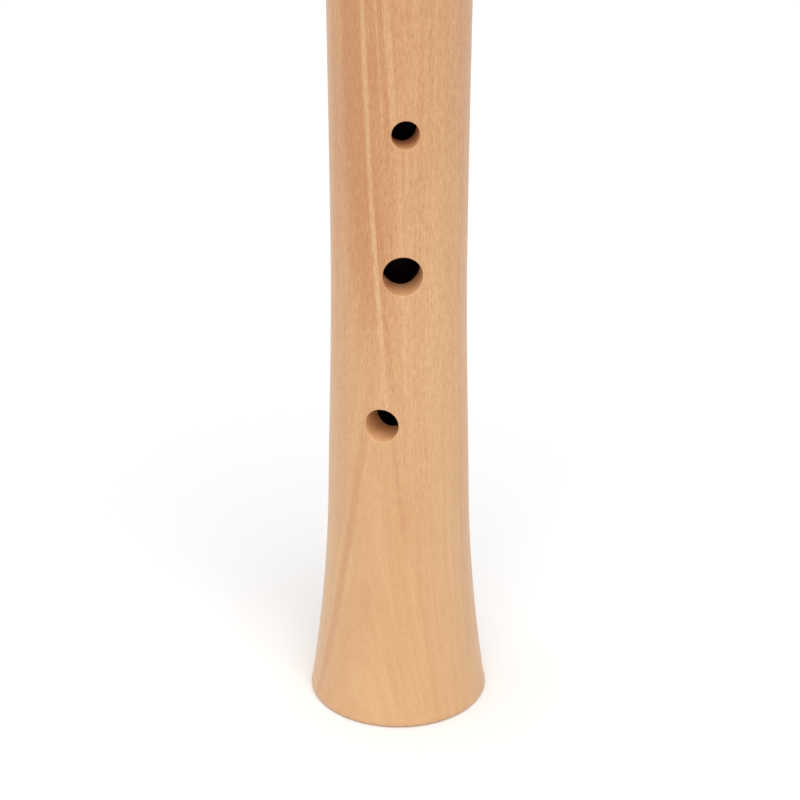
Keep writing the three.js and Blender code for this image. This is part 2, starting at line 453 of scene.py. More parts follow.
def body_outside():
    """The outside of the body from the foot's face to the tenon's top."""
    rim = (FOOT_RIM_RADIUS, 0, FOOT_RIM_SPLAY)
    throat = (THROAT_RADIUS, THROAT_HEIGHT, THROAT_SPLAY)
    waist = (WAIST_RADIUS, WAIST_HEIGHT, 0)
    shoulder = (SHOULDER_RADIUS, BODY_LENGTH, SHOULDER_SPLAY)
    rim_centre = FOOT_RIM_RADIUS - FOOT_RIM_ROUNDING
    foot_curve = flank(rim, throat, rows(THROAT_HEIGHT))
    lower_curve = flank(throat, waist, rows(WAIST_HEIGHT - THROAT_HEIGHT))
    upper_curve = flank(waist, shoulder, rows(BODY_LENGTH - WAIST_HEIGHT))
    shoulder_centre = SHOULDER_RADIUS - SHOULDER_ROUNDING
    below_shoulder = BODY_LENGTH - SHOULDER_ROUNDING * CLEAR_OF_ROUNDING
    return [
        *arc(rim_centre, FOOT_RIM_ROUNDING, FOOT_RIM_ROUNDING, -90, RIM_ARC_END),
        *[point for point in foot_curve if point[1] > FOOT_RIM_ROUNDING * CLEAR_OF_RIM],
        *lower_curve[1:],
        *[point for point in upper_curve[1:] if point[1] < below_shoulder],
        *arc(shoulder_centre, BODY_LENGTH - SHOULDER_ROUNDING, SHOULDER_ROUNDING, 0, 90),
        (TENON_RADIUS, BODY_LENGTH),
        (TENON_RADIUS, CORK_BOTTOM - CORK_GAP),
        (CORK_CHANNEL_RADIUS, CORK_BOTTOM - CORK_GAP),
        (CORK_CHANNEL_RADIUS, CORK_TOP + CORK_GAP),
        (TENON_RADIUS, CORK_TOP + CORK_GAP),
        *arc(TENON_RADIUS - TENON_ROUNDING, TENON_TOP - TENON_ROUNDING, TENON_ROUNDING, 0, 90),
    ]


def body_bore():
    """The bore from the tenon's top down to the foot's face."""
    top = (BORE_TENON_RADIUS, TENON_TOP)
    neck = (BORE_NECK_RADIUS, BORE_NECK_HEIGHT)
    foot = (BORE_FOOT_RADIUS, FOOT_HOLLOW_DEPTH)
    return [
        *straight(top, neck, rows(TENON_TOP - BORE_NECK_HEIGHT)),
        *straight(neck, foot, rows(BORE_NECK_HEIGHT) // 2)[1:],
        (FOOT_HOLLOW_RADIUS, 0),
    ]


OUTSIDE = body_outside()
BORE = body_bore()
body = turn_piece("pear_body_and_foot", [*OUTSIDE, *BORE])
report(body)

# %% [markdown]
# The finger holes are drilled straight towards the bore: seven in front, of which the lowest
# is turned aside for the little finger, and one behind for the thumb. Each gets its own frame,
# in which the drill runs along y, so that the steps below can be written for one hole.

# %% Places of the finger holes
FINGER_HOLES = (
    {"height": 193.0, "diameter": 5.0, "turn": 180},
    {"height": 184.5, "diameter": 5.0, "turn": 0},
    {"height": 163.5, "diameter": 5.6, "turn": 0},
    {"height": 142.8, "diameter": 5.8, "turn": 0},
    {"height": 122.4, "diameter": 5.6, "turn": 0},
    {"height": 99.2, "diameter": 4.3, "turn": 1},
    {"height": 77.4, "diameter": 6.16, "turn": -1},
    {"height": 52.9, "diameter": 5.4, "turn": -18.4},
)
WINDOW_MARGIN = 1.6
SKIN_TOLERANCE = 0.05


def radius_at(outline, height):
    """The outline's radius at a height, both in millimetres."""
    for (r0, h0), (r1, h1) in zip(outline, outline[1:]):
        if min(h0, h1) <= height <= max(h0, h1) and h0 != h1:
            return r0 + (r1 - r0) * (height - h0) / (h1 - h0)
    raise ValueError("the outline has no such height")


class Hole:
    """A finger hole's own frame: x across the drill, y against it and z up the body."""

    def __init__(self, height, diameter, turn):
        self.height = height
        self.radius = diameter / 2
        place = Matrix.Translation((0, 0, height * MM))
        self.out = place @ Matrix.Rotation(math.radians(turn), 4, "Z")
        self.back = self.out.inverted()

    def local(self, point):
        """A point of the mesh in the hole's frame, in millimetres."""
        return (self.back @ point) / MM

    def on_skin(self, across, up, skin):
        """The point of a turned skin that lies straight under the drill there."""
        radius = radius_at(skin, self.height + up)
        return Vector((across, -math.sqrt(radius ** 2 - across ** 2), up))

    def near_skin(self, point, skin):
        """Whether a point lies on a skin, on the side where the hole goes through."""
        at = self.local(point)
        reach = self.radius + WINDOW_MARGIN * 2
        if at.y > 0 or abs(at.z) > reach or abs(at.x) > reach:
            return False
        radius = radius_at(skin, self.height + at.z)
        return abs(math.hypot(at.x, at.y) - radius) < SKIN_TOLERANCE


print("finger holes:", len(FINGER_HOLES))

# %% [markdown]
# A Boolean cut would leave slivers along a hole's rim that can't be rounded. Instead the quads
# over the hole are taken out of both skins of the wall, and the window's edge is extruded
# inwards in rings that end on the drill's circle. The rings lie on the turned surface.

# %% Windows, rings and walls
RINGS = 3
WINDOW_WIDEST = 0.88
RIM_TOLERANCE = 0.005


def edit_mesh(piece):
    """The mesh of the piece that is in edit mode."""
    return bmesh.from_edit_mesh(piece.data)


def pick_by(kind):
    """Goes to picking edges or faces, with none picked."""
    bpy.ops.mesh.select_mode(type=kind)
    bpy.ops.mesh.select_all(action="DESELECT")


def pick_edges(piece, wanted):
    """Selects just the edges for which wanted is true."""
    pick_by("EDGE")
    mesh = edit_mesh(piece)
    for edge in mesh.edges:
        edge.select = wanted(edge)
    mesh.select_flush_mode()
    bmesh.update_edit_mesh(piece.data)


def open_window(piece, hole, skin):
    """Takes the quads over the hole out of one skin."""
    pick_by("FACE")
    edge_of_window = hole.radius + WINDOW_MARGIN
    height = hole.height * MM
    mesh = edit_mesh(piece)
    for face in mesh.faces:
        middle = face.calc_center_median()
        if abs(middle.z - height) < edge_of_window * MM and hole.near_skin(middle, skin):
            at = hole.local(middle)
            widest = min(edge_of_window, radius_at(skin, hole.height) * WINDOW_WIDEST)
            face.select = abs(at.x) < widest
    bmesh.update_edit_mesh(piece.data)
    bpy.ops.mesh.delete(type="FACE")


def ring_to_circle(piece, hole, skin):
    """Extrudes the window's edge inwards until it lies on the drill's circle."""
    pick_edges(piece, lambda edge: edge.is_boundary and all(
        hole.near_skin(vertex.co, skin) for vertex in edge.verts))
    for ring in range(RINGS):
        bpy.ops.mesh.extrude_edges_move()
        share = 1 / (RINGS - ring)
        for vertex in edit_mesh(piece).verts:
            if vertex.select:
                at = hole.local(vertex.co)
                scale = 1 + share * (hole.radius / math.hypot(at.x, at.z) - 1)
                place = hole.on_skin(at.x * scale, at.z * scale, skin)
                vertex.co = hole.out @ (place * MM)
    bmesh.update_edit_mesh(piece.data)


def extrude_wall(piece, hole, shares, skin):
    """Extrudes the selected rim towards the other skin, by shares of what is left."""
    for share in shares:
        bpy.ops.mesh.extrude_edges_move()
        for vertex in edit_mesh(piece).verts:
            if vertex.select:
                at = hole.local(vertex.co)
                end = hole.on_skin(at.x, at.z, skin)
                vertex.co = hole.out @ ((at + (end - at) * share) * MM)
    bmesh.update_edit_mesh(piece.data)


def on_rim(hole, skin):
    """A test for the edges of a hole's rim on one skin."""
    def test(edge):
        for vertex in edge.verts:
            at = hole.local(vertex.co)
            if at.y > 0 or abs(math.hypot(at.x, at.z) - hole.radius) > RIM_TOLERANCE:
                return False
            if (at - hole.on_skin(at.x, at.z, skin)).length > RIM_TOLERANCE:
                return False
        return True
    return test


print("drilling steps are ready")

# %% [markdown]
# Now each hole is drilled: both windows are opened, both edges become circles, the circles
# grow towards each other through the wall and are bridged. The rims are then bevelled, as
# fine paper breaks an edge so that a finger feels no burr.

# %% Drill the finger holes
RIM_SOFTNESS = 0.1
SOFT_SEGMENTS = 3
WALL_FROM_BORE = [0.08]
WALL_FROM_OUTSIDE = [0.25, 0.4, 0.7]


def drill(piece, hole):
    """One finger hole with its wall and its two softened rims."""
    open_window(piece, hole, OUTSIDE)
    open_window(piece, hole, BORE)
    ring_to_circle(piece, hole, BORE)
    extrude_wall(piece, hole, WALL_FROM_BORE, OUTSIDE)
    ring_to_circle(piece, hole, OUTSIDE)
    extrude_wall(piece, hole, WALL_FROM_OUTSIDE, BORE)
    pick_edges(piece, lambda edge: edge.is_boundary)
    bpy.ops.mesh.bridge_edge_loops()
    for skin in (OUTSIDE, BORE):
        pick_edges(piece, on_rim(hole, skin))
        bpy.ops.mesh.bevel(
            offset=RIM_SOFTNESS * MM, segments=SOFT_SEGMENTS, affect="EDGES", clamp_overlap=False)


work_on(body)
bpy.ops.object.mode_set(mode="EDIT")
for size in FINGER_HOLES:
    drill(body, Hole(**size))
close_up()
report(body)

# %% [markdown]
# The cork lapping is a band of cork glued into the tenon's channel. It stands a little proud
# of the wood, so that it is squeezed when the head goes on. Its two edges are rubbed round.

# %% Turn the cork
CORK_ROUNDING = 0.5


def cork_outline():
    """The lapping's cross-section, up the outside and down the inside."""
    centre = CORK_RADIUS - CORK_ROUNDING
    return [
        (CORK_CHANNEL_RADIUS + CORK_GAP, CORK_BOTTOM),
        *arc(centre, CORK_BOTTOM + CORK_ROUNDING, CORK_ROUNDING, -90, 0),
        *arc(centre, CORK_TOP - CORK_ROUNDING, CORK_ROUNDING, 0, 90),
        (CORK_CHANNEL_RADIUS + CORK_GAP, CORK_TOP),
    ]


cork = turn_piece("cork_lapping", cork_outline())
report(cork)

# %% [markdown]
# Cutting. What isn't round about the bore is cut with a tool that is drawn as a side view and
# made as wide as the cut. The side view is a closed chain of points, each a distance in front
# of the bore's axis and a height. The cut itself is a Boolean modifier, applied at once.

# %% Side-view tools
CORNER_TOLERANCE = 0.02


def side_tool(name, side_view, width):
    """A closed side view of (front, height) points, extruded across the recorder."""
    closed = [*side_view, side_view[0]]
    tool = draw_chain(name, [(-width / 2, -front, height) for front, height in closed])
    bpy.ops.mesh.select_all(action="SELECT")
    bpy.ops.mesh.remove_doubles(threshold=MERGE_DISTANCE)
    bpy.ops.mesh.edge_face_add()
    bpy.ops.mesh.extrude_region_move(TRANSFORM_OT_translate={"value": (width * MM, 0, 0)})
    close_up()
    return tool


def combine(piece, tool, operation):
    """Joins or cuts a piece with a tool, which is then gone."""
    work_on(piece)
    bpy.ops.object.modifier_add(type="BOOLEAN")
    cut = piece.modifiers[-1]
    cut.operation = operation
    cut.solver = "EXACT"
    cut.object = tool
    bpy.ops.object.modifier_apply(modifier=cut.name)
    bpy.data.objects.remove(tool)


def soften(piece, corner, softness):
    """Rounds the upright edges at (x, y) or (-x, y) in mm, as fine paper does."""
    def at_corner(edge):
        ends = [vertex.co / MM for vertex in edge.verts]
        return all(math.dist((abs(end.x), end.y), corner) < CORNER_TOLERANCE for end in ends)

    work_on(piece)
    bpy.ops.object.mode_set(mode="EDIT")
    pick_edges(piece, at_corner)
    bpy.ops.mesh.bevel(offset=softness * MM, segments=SOFT_SEGMENTS, affect="EDGES")
    close_up()


print("cutting helpers are ready")

# %% [markdown]
# The beak is hollowed at the back along an arc, so that it rests on the player's lower lip.
# Head and block share this hollow, so it is written down once, as how far in front of the
# axis it lies at each height. At the very tip it turns forward in a small rounding.

# %% The hollow of the beak
HEAD_TOP_RADIUS = 22.4 / 2
BEAK_LENGTH = 34.0
BEAK_TIP_THICKNESS = 10.0
BEAK_ARC_RADIUS = 42.0
BEAK_TIP_ROUNDING = 0.8
BEAK_HEEL = HEAD_TOP - BEAK_LENGTH
BEAK_TOOL_ROWS = 50
OVERSHOOT = 2.0


def beak_arc_centre():
    """The middle of the hollow's arc, as (front, height)."""
    tip = Vector((HEAD_TOP_RADIUS - BEAK_TIP_THICKNESS, HEAD_TOP))
    heel = Vector((-HEAD_RADIUS, BEAK_HEEL))
    half = (tip - heel) / 2
    rise = math.sqrt(BEAK_ARC_RADIUS ** 2 - half.length_squared)
    return heel + half + Vector((-half.y, half.x)).normalized() * rise


BEAK_CENTRE = beak_arc_centre()


def beak_front(height):
    """How far in front of the axis the hollow lies at a height."""
    rise = height - BEAK_CENTRE.y
    front = BEAK_CENTRE.x + math.sqrt(BEAK_ARC_RADIUS ** 2 - rise ** 2)
    into_rounding = height - (HEAD_TOP - BEAK_TIP_ROUNDING)
    if into_rounding > 0:
        rest = max(0, BEAK_TIP_ROUNDING ** 2 - into_rounding ** 2)
        front += BEAK_TIP_ROUNDING - math.sqrt(rest)
    return front


def beak_tool():
    """A tool with the hollow's side view, for the block."""
    behind = -2 * HEAD_RADIUS
    round_start = HEAD_TOP - BEAK_TIP_ROUNDING
    points = straight((0, BEAK_HEEL), (0, round_start), BEAK_TOOL_ROWS)
    points += arc(0, round_start, BEAK_TIP_ROUNDING, 0, 90)[1:]
    return side_tool("beak_tool", [
        (behind, BEAK_HEEL),
        *[(beak_front(height), height) for _, height in points],
        (beak_front(HEAD_TOP), HEAD_TOP + OVERSHOOT),
        (behind, HEAD_TOP + OVERSHOOT),
    ], 2 * HEAD_RADIUS + OVERSHOOT)


print("hollow in front of the axis at heel and tip:",
      round(beak_front(BEAK_HEEL), 2), round(beak_front(HEAD_TOP), 2))

# %% [markdown]
# The head joint is turned as a solid first. Its beak isn't cut with a tool: the skin of the
# turned solid slides inwards until it meets the hollow, with a rounding where the two meet,
# as a file and fine paper leave it. Close rows of vertices near the beak make that smooth.

# %% Turn the head and shape the beak
HEAD_SEAM_RADIUS = 25.4 / 2
HEAD_SEAM_SPLAY = -0.08
HEAD_SEAM_ROUNDING = 1.2
HEAD_SWELL_HEIGHT = 26.0
HEAD_TOP_SPLAY = 0.03
HEAD_TOP_ROUNDING = 1.6
BEAK_EDGE_ROUNDING = 1.3
BEAK_HEART = Vector((0, -6))
HEAD_ARC_STEPS = 8
SWELL_ROWS = 12
BEAK_ROWS = 140
PLAIN_ROW_STEP = 8
CLOSE_ROWS_BELOW_HEEL = 4.0
HOLLOW_BELOW_HEEL = 2.0
AT_AXIS = 0.01
HALVINGS = 18


def head_outside():
    """The head's outside from the axis at the seam to the axis at the top."""
    seam = (HEAD_SEAM_RADIUS, SEAM, HEAD_SEAM_SPLAY)
    swell = (HEAD_RADIUS, SEAM + HEAD_SWELL_HEIGHT, 0)
    top = (HEAD_TOP_RADIUS, HEAD_TOP, HEAD_TOP_SPLAY)
    above_seam = SEAM + HEAD_SEAM_ROUNDING * CLEAR_OF_ROUNDING
    below_top = HEAD_TOP - HEAD_TOP_ROUNDING * CLEAR_OF_ROUNDING
    close_rows = BEAK_HEEL - CLOSE_ROWS_BELOW_HEEL
    seam_centre = (HEAD_SEAM_RADIUS - HEAD_SEAM_ROUNDING, SEAM + HEAD_SEAM_ROUNDING)
    top_centre = (HEAD_TOP_RADIUS - HEAD_TOP_ROUNDING, HEAD_TOP - HEAD_TOP_ROUNDING)
    upper = flank(swell, top, BEAK_ROWS)[1:]
    plain = [point for point in upper[::PLAIN_ROW_STEP] if point[1] < close_rows]
    beak = [point for point in upper if close_rows <= point[1] < below_top]
    return [
        (0, SEAM),
        *arc(*seam_centre, HEAD_SEAM_ROUNDING, -90, 0, HEAD_ARC_STEPS),
        *[point for point in flank(seam, swell, SWELL_ROWS) if point[1] > above_seam],
        *plain,
        *beak,
        *arc(*top_centre, HEAD_TOP_ROUNDING, 0, 90, HEAD_ARC_STEPS),
        (0, HEAD_TOP),
    ]


HEAD_OUTSIDE = head_outside()


def in_beak(place, height):
    """Whether a point of one level lies in the wood that the rounded hollow leaves."""
    from_skin = radius_at(HEAD_OUTSIDE, height) - place.length
    from_hollow = -place.y - beak_front(height)
    if from_skin < BEAK_EDGE_ROUNDING and from_hollow < BEAK_EDGE_ROUNDING:
        left = math.hypot(BEAK_EDGE_ROUNDING - from_skin, BEAK_EDGE_ROUNDING - from_hollow)
        return left < BEAK_EDGE_ROUNDING
    return min(from_skin, from_hollow) > 0


def hollow_beak(piece):
    """Slides the beak's skin towards its heart, by halves, until it lies on the wood's edge."""
    for vertex in piece.data.vertices:
        height = min(vertex.co.z / MM, HEAD_TOP)
        if height < BEAK_HEEL - HOLLOW_BELOW_HEEL:
            continue
        place = vertex.co.xy / MM
        if place.length < AT_AXIS:
            vertex.co.xy = BEAK_HEART * MM
            continue
        inner, outer = 0.0, 1.0
        for _ in range(HALVINGS):
            middle = (inner + outer) / 2
            if in_beak(BEAK_HEART.lerp(place, middle), height):
                inner = middle
            else:
                outer = middle
        vertex.co.xy = BEAK_HEART.lerp(place, outer) * MM


head = turn_piece("pear_head_joint", HEAD_OUTSIDE)
hollow_beak(head)
report(head)

# %% [markdown]
# Now the head is bored and its mouth is cut. The bore's tool is turned too: a socket for the
# tenon, the bore, and a slightly wider seat for the block. The mouth is one side view: the
# windway's roof, the window, the long ramp that ends in the lip's thin edge, and the hollow
# under the lip. These edges stay crisp, because the sound depends on them.

# %% Bore the head and cut the mouth
SOCKET_GAP = 0.12
SOCKET_RADIUS = CORK_RADIUS + SOCKET_GAP
SOCKET_CHAMFER = 0.3
SOCKET_SPARE = 0.6
SOCKET_END = TENON_TOP + SOCKET_SPARE
HEAD_BORE_RADIUS = 12.9 / 2
BLOCK_SEAT_RADIUS = BLOCK_RADIUS + BLOCK_GAP
WINDOW_HEIGHT = 4.0
WINDWAY_WIDTH = 12.0
WINDWAY_EXIT_HEIGHT = 1.0
WINDWAY_ENTRY_HEIGHT = 1.9
WINDWAY_EXIT_CHAMFER = 0.6
LIP_UNDERSIDE = 6.5
LIP_EDGE_THICKNESS = 0.35
LIP_RAMP_LENGTH = 19.0
LIP_UNDERCUT_LENGTH = 12.0
LIP_EDGE = BLOCK_LINE - WINDOW_HEIGHT
BLOCK_LENGTH = HEAD_TOP - BLOCK_LINE
INNERMOST = 1.0


def bore_tool():
    """The turned inside of the head, with a little chamfer at the socket's mouth."""
    return turn_piece("bore_tool", [
        (0, SEAM - OVERSHOOT),
        (SOCKET_RADIUS + SOCKET_CHAMFER, SEAM - OVERSHOOT),
        (SOCKET_RADIUS + SOCKET_CHAMFER, SEAM),
        (SOCKET_RADIUS, SEAM + SOCKET_CHAMFER),
        (SOCKET_RADIUS, SOCKET_END),
        (HEAD_BORE_RADIUS, SOCKET_END),
        (HEAD_BORE_RADIUS, BLOCK_LINE),
        (BLOCK_SEAT_RADIUS, BLOCK_LINE),
        (BLOCK_SEAT_RADIUS, HEAD_TOP + OVERSHOOT),
        (0, HEAD_TOP + OVERSHOOT),
    ])


def mouth_tool():
    """Windway roof, window, lip ramp and undercut, as one closed side view."""
    outermost = HEAD_RADIUS + OVERSHOOT
    exit_roof = WINDWAY_FLOOR + WINDWAY_EXIT_HEIGHT
    roof_rise = (WINDWAY_ENTRY_HEIGHT - WINDWAY_EXIT_HEIGHT) / BLOCK_LENGTH
    entry_roof = exit_roof + roof_rise * (BLOCK_LENGTH + OVERSHOOT)
    lip_outside = LIP_UNDERSIDE + LIP_EDGE_THICKNESS
    ramp_drop = LIP_RAMP_LENGTH * (outermost - lip_outside) / (HEAD_RADIUS - lip_outside)
    bore_at_side = math.sqrt(HEAD_BORE_RADIUS ** 2 - (WINDWAY_WIDTH / 2) ** 2)
    undercut_end = LIP_EDGE - LIP_UNDERCUT_LENGTH
    return side_tool("mouth_tool", [
        (INNERMOST, HEAD_TOP + OVERSHOOT),
        (entry_roof, HEAD_TOP + OVERSHOOT),
        (exit_roof, BLOCK_LINE + WINDWAY_EXIT_CHAMFER),
        (exit_roof + WINDWAY_EXIT_CHAMFER, BLOCK_LINE),
        (outermost, BLOCK_LINE),
        (outermost, LIP_EDGE - ramp_drop),
        (lip_outside, LIP_EDGE),
        (LIP_UNDERSIDE, LIP_EDGE),
        (bore_at_side, undercut_end),
        (INNERMOST, undercut_end),
    ], WINDWAY_WIDTH)


combine(head, bore_tool(), "DIFFERENCE")
combine(head, mouth_tool(), "DIFFERENCE")
report(head)

# %% [markdown]
# The block is a plug of cedar, which swells little and stays dry. It is turned to the head's
# seat, carries a raised flat track that is the floor of the windway, and follows the beak's
# hollow at the back. Its lower front edge is chamfered where the breath leaves the windway,
# and the track's long edges are rounded a little, as with fine paper.

# %% Fit the block
BLOCK_SOFTNESS = 0.25
TRACK_WIDTH = WINDWAY_WIDTH - 2 * BLOCK_GAP


def make_block():
    """The cedar plug with its track, cut flat above the floor and hollowed at the back."""
    length = HEAD_TOP - BLOCK_BOTTOM
    bpy.ops.mesh.primitive_cylinder_add(
        vertices=TURNED_SIDES, radius=BLOCK_RADIUS * MM, depth=length * MM,
        location=(0, 0, (HEAD_TOP + BLOCK_BOTTOM) / 2 * MM))
    plug = bpy.context.object
    plug.name = "cedar_block"
    bpy.ops.object.transform_apply(location=True, rotation=True, scale=True)
    track = [
        (INNERMOST, BLOCK_BOTTOM),
        (WINDWAY_FLOOR + OVERSHOOT, BLOCK_BOTTOM),
        (WINDWAY_FLOOR + OVERSHOOT, HEAD_TOP),
        (INNERMOST, HEAD_TOP),
    ]
    above_floor = [
        (WINDWAY_FLOOR - WINDWAY_EXIT_CHAMFER - OVERSHOOT, BLOCK_BOTTOM - OVERSHOOT),
        (WINDWAY_FLOOR, BLOCK_BOTTOM + WINDWAY_EXIT_CHAMFER),
        (WINDWAY_FLOOR, HEAD_TOP + OVERSHOOT),
        (WINDWAY_FLOOR + HEAD_RADIUS, HEAD_TOP + OVERSHOOT),
        (WINDWAY_FLOOR + HEAD_RADIUS, BLOCK_BOTTOM - OVERSHOOT),
    ]
    combine(plug, side_tool("track_tool", track, TRACK_WIDTH), "UNION")
    combine(plug, side_tool("floor_tool", above_floor, WINDWAY_WIDTH + OVERSHOOT), "DIFFERENCE")
    combine(plug, beak_tool(), "DIFFERENCE")
    return plug


block = make_block()
soften(block, (TRACK_WIDTH / 2, -WINDWAY_FLOOR), BLOCK_SOFTNESS)
report(block)

# %% [markdown]
# Wood is a solid with a pattern all through it, so its finish is reckoned from the place in
# the wood and not from the surface. Growth layers are nearly flat sheets that cut the turned
# body. Where a sheet lies flat against the surface it shows as a broad band, and where it
# meets the surface edge on it shows as a fine line. The photograph's lines fit sheets that
# face the front left, so a few words of geometry give the right figure on every side.

# %% Helpers for wood
END_GRAIN_FACING = (0.45, 0.95)


def wood_place(start):
    """The place in the wood in millimetres, as x, y and z."""
    place = start.node("ShaderNodeTexCoord", output="Object")
    scaled = place.node("ShaderNodeVectorMath", {"operation": "SCALE"}, {0: place, "Scale": 1 / MM})
    x = scaled.node("ShaderNodeSeparateXYZ", {}, {0: scaled}, output="X")
    return x, x.also("Y"), x.also("Z")


def growth_layers(x, y, z, facing, lean, pith_distance):
    """How deep a place lies across the growth layers, and how far along them, in mm."""
    across = x * math.cos(facing) + y * math.sin(facing) + z * lean
    along = y * math.cos(facing) - x * math.sin(facing)
    return across + along * along / (2 * pith_distance), along


def stretched_noise(values, lengths, detail):
    """Noise from -0.5 to 0.5 whose features are as long as told along each value."""
    scaled = [value / length for value, length in zip(values, lengths)]
    place = scaled[0].node("ShaderNodeCombineXYZ", {}, dict(enumerate(scaled)))
    noise = place.node("ShaderNodeTexNoise", {}, {"Vector": place, "Scale": 1.0, "Detail": detail})
    return noise - 0.5


def smooth_step(value, low, high):
    """0 below low and 1 above high, with a soft passage; it falls if low is above high."""
    if low > high:
        return 1 - smooth_step(value, high, low)
    sockets = {"Value": value, "From Min": low, "From Max": high}
    return value.node("ShaderNodeMapRange", {"interpolation_type": "SMOOTHSTEP"}, sockets)


def mix_colour(factor, first, second, how="MIX"):
    """Two colours mixed by a factor, each a wire or a plain colour."""
    settings = {"data_type": "RGBA", "blend_type": how}
    sockets = {0: factor, 6: first, 7: second}
    start = next(w for w in (factor, first, second) if isinstance(w, Wire))
    return start.node("ShaderNodeMix", settings, sockets, output=2)


def noises(values, sorts):
    """A stretched noise for each name, from its lengths and its detail."""
    return {name: stretched_noise(values, *sort) for name, sort in sorts.items()}


def facing_up_or_down(start):
    """1 on surfaces cut across the grain, such as the ends and the tops of drilled walls."""
    normal = start.node("ShaderNodeTexCoord", output="Normal")
    up = normal.node("ShaderNodeSeparateXYZ", {}, {0: normal}, output="Z")
    return smooth_step(up.math("ABSOLUTE"), *END_GRAIN_FACING)


def show_surface(start, colour, roughness, height, strength, depth):
    """Shows a colour and a roughness with a relief that is depth millimetres deep."""
    bump = start.node(
        "ShaderNodeBump", {}, {"Strength": strength, "Distance": depth * MM, "Height": height})
    show(start, start.node("ShaderNodeBsdfPrincipled", {}, {
        "Base Color": colour, "Roughness": roughness, "Normal": bump,
    }))


print("wood helpers are ready")

# %% [markdown]
# Pear wood is pale, close-grained and slightly pink. What the photograph shows plainly is
# given to the body as marks along the grain: a few pale or dark lines and two soft warm
# bands, each by its turn about the bore at two heights. They are sums, not a picture, so
# they stay clean at any size.

# %% Marks along the grain
BODY_LINES = (
    {"turns": (-33.7, -15.4), "heights": (118.2, 59.1), "width": 3.2, "strength": -0.36, "bend": -2.2},
    {"turns": (-22.7, -17.3), "heights": (118.3, 98.8), "width": 1.6, "strength": -0.24},
    {"turns": (-14.6, -7.9), "heights": (118.4, 98.0), "width": 4.0, "strength": -0.26},
    {"turns": (-1.8, 1.8), "heights": (79.0, 57.7), "width": 1.8, "strength": -0.12},
    {"turns": (-18.0, -9.6), "heights": (78.0, 57.0), "width": 4.0, "strength": 0.16},
    {"turns": (-44.5, -72.8), "heights": (35.9, 0.0), "width": 6.0, "strength": 0.22},
    {"turns": (-5.2, 1.1), "heights": (43.8, 32.0), "width": 3.0, "strength": 0.12},
)
BODY_BANDS = (
    {"turns": (-42.0, -26.0), "heights": (118.2, 62.0), "width": 22.0, "strength": 0.34, "bend": -2.2},
    {"turns": (-22.0, -10.0), "heights": (118.2, 70.0), "width": 13.0, "strength": 0.18, "bend": -2.2},
)
LINE_CORE = 0.3
BAND_CORE = 0.05
MARK_BEGINS = (-0.8, -0.2)
MARK_ENDS = (1.1, 0.7)


def mark(turn, z, core, turns, heights, width, strength, bend=0.0):
    """A mark along the grain between two turns and heights, pale if its strength is below 0.

    bend moves its middle sideways, in degrees, and core is the share of its width that is even.
    """
    share = (z - heights[0]) / (heights[1] - heights[0])
    middle = share * (turns[1] - turns[0]) + turns[0]
    if bend:
        middle = middle + share * (1 - share) * (4 * bend)
    away = (turn - middle).math("ABSOLUTE")
    fading = smooth_step(share, *MARK_BEGINS) * smooth_step(share, *MARK_ENDS)
    return smooth_step(away, width, width * core) * fading * strength


def body_marks(turn, z):
    """All the body's lines and bands, added up."""
    lines = [mark(turn, z, LINE_CORE, **line) for line in BODY_LINES]
    bands = [mark(turn, z, BAND_CORE, **band) for band in BODY_BANDS]
    return sum(lines + bands)


print("marks on the body:", len(BODY_LINES) + len(BODY_BANDS))

# %% [markdown]
# The pattern itself is made of noises, each stretched by its own lengths: broad tones, growth
# bands, fine lines and a slight ripple follow the growth layers; fibres, specks and short
# pores run up the grain. The wood is warmer above the lowest holes. End grain drinks oil and
# is darker. The walls of the finger holes are painted paler, as painted light that reaches
# into the holes. The bore is painted nearly black: a little of that is its oil, and the rest
# is painted shade inside the tube.

# %% Pear wood
PEAR_STOPS = [(0.1, srgb(228, 189, 141)), (0.45, srgb(219, 173, 125)), (0.95, srgb(201, 143, 97))]
PORE_COLOUR = srgb(196, 132, 92)
END_GRAIN_TINT = srgb(248, 238, 238)
# The hole walls are painted paler: painted light, standing in for light that reaches into the holes.
DRILLED_WALL_PAINTED_LIGHT = (1.28, 1.4, 1.5, 1)
# The bore is painted nearly black: a little of it is the bore's oil, the rest is painted shade inside
# the tube.
BORE_OIL_AND_PAINTED_SHADE = srgb(60, 38, 32)
BORE_OIL_AND_SHADE_WITHIN = (0.2, 0.02)
PITH_DISTANCE = 120.0
GRAIN_LEAN = 0.0075
BODY_FACING = math.radians(57.5)
HEAD_FACING = math.radians(200)
HEAD_OFFSET = 31.0
PEAR_LAYERS = {
    "broad": ((3.4, 16, 170), 2.0),
    "bands": ((0.9, 9, 70), 3.0),
    "lines": ((0.30, 2.0, 14), 3.0),
    "ripple": ((2.0, 2.5, 1.5), 3.0),
}
TONE_SHARES = {"broad": 0.40, "bands": 0.35, "lines": 0.32, "ripple": 0.16}
PEAR_CELLS = {
    "fibres": ((0.15, 0.15, 1.3), 3.0),
    "specks": ((0.16, 0.16, 0.4), 2.0),
    "pores": ((0.19, 0.19, 1.7), 1.0),
}
SHADE_SHARES = {"fibres": 0.75, "specks": 0.35}
FIBRE_TINT = (0.7, 1.05, 1.25)
PORE_OPENS = (0.08, 0.28)
PORE_STRENGTH = 0.7
CELLS_FADE = (20, 75)
CELLS_AT_FOOT = 0.35
WARMER_ABOVE = (60, 112)
WARMER_BY = 0.20
HOLES_ABOVE = (20, 40)
HOLES_BELOW = (199, 197)
WALL_FACING = (0.9, 0.5)
PEAR_ROUGHNESS = 0.36


